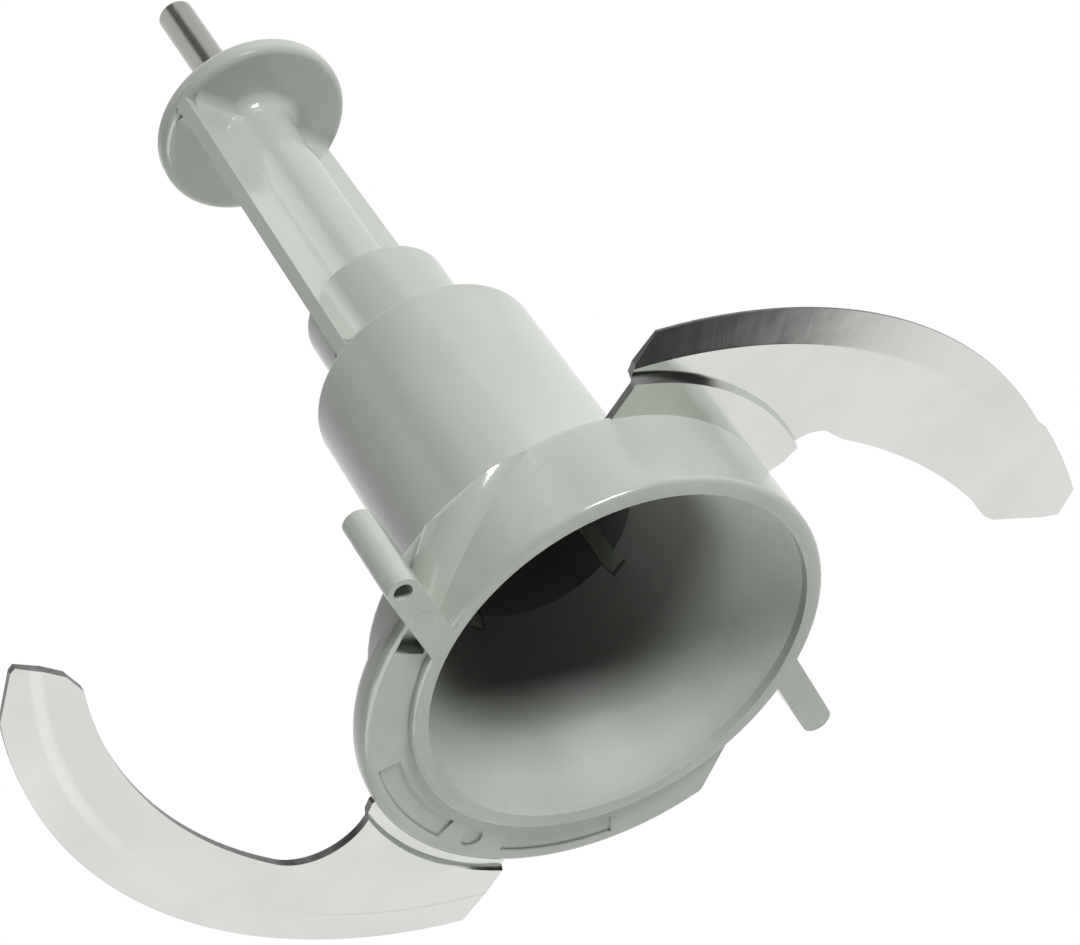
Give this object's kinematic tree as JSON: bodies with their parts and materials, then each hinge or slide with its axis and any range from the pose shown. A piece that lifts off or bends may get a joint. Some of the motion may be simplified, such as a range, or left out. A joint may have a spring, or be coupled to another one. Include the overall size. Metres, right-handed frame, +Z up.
{
  "type": "food processor blade",
  "caption": "S-shaped knife for a food processor bowl: polished steel blades moulded into a bell-shaped hub with a webbed stem, a disc and a steel pin on top.",
  "frame": {"origin": "centre of the bell's mouth, on the turning axis, in the plane of the rim the part stands on", "axes": "+Z up along the turning axis, from the rim towards the steel pin; +X to the side of the upper blade's tip; +Y away from the open ear"},
  "size_m": [0.1472, 0.1221, 0.1628],
  "materials": {
    "hub_plastic": "gloss",
    "blade_steel": "polished",
    "pin_steel": "polished"
  },
  "bodies": {
    "root": {"hub": "hub_plastic", "lower_blade": "blade_steel", "upper_blade": "blade_steel", "top_pin": "pin_steel"}
  },
  "joints": []
}
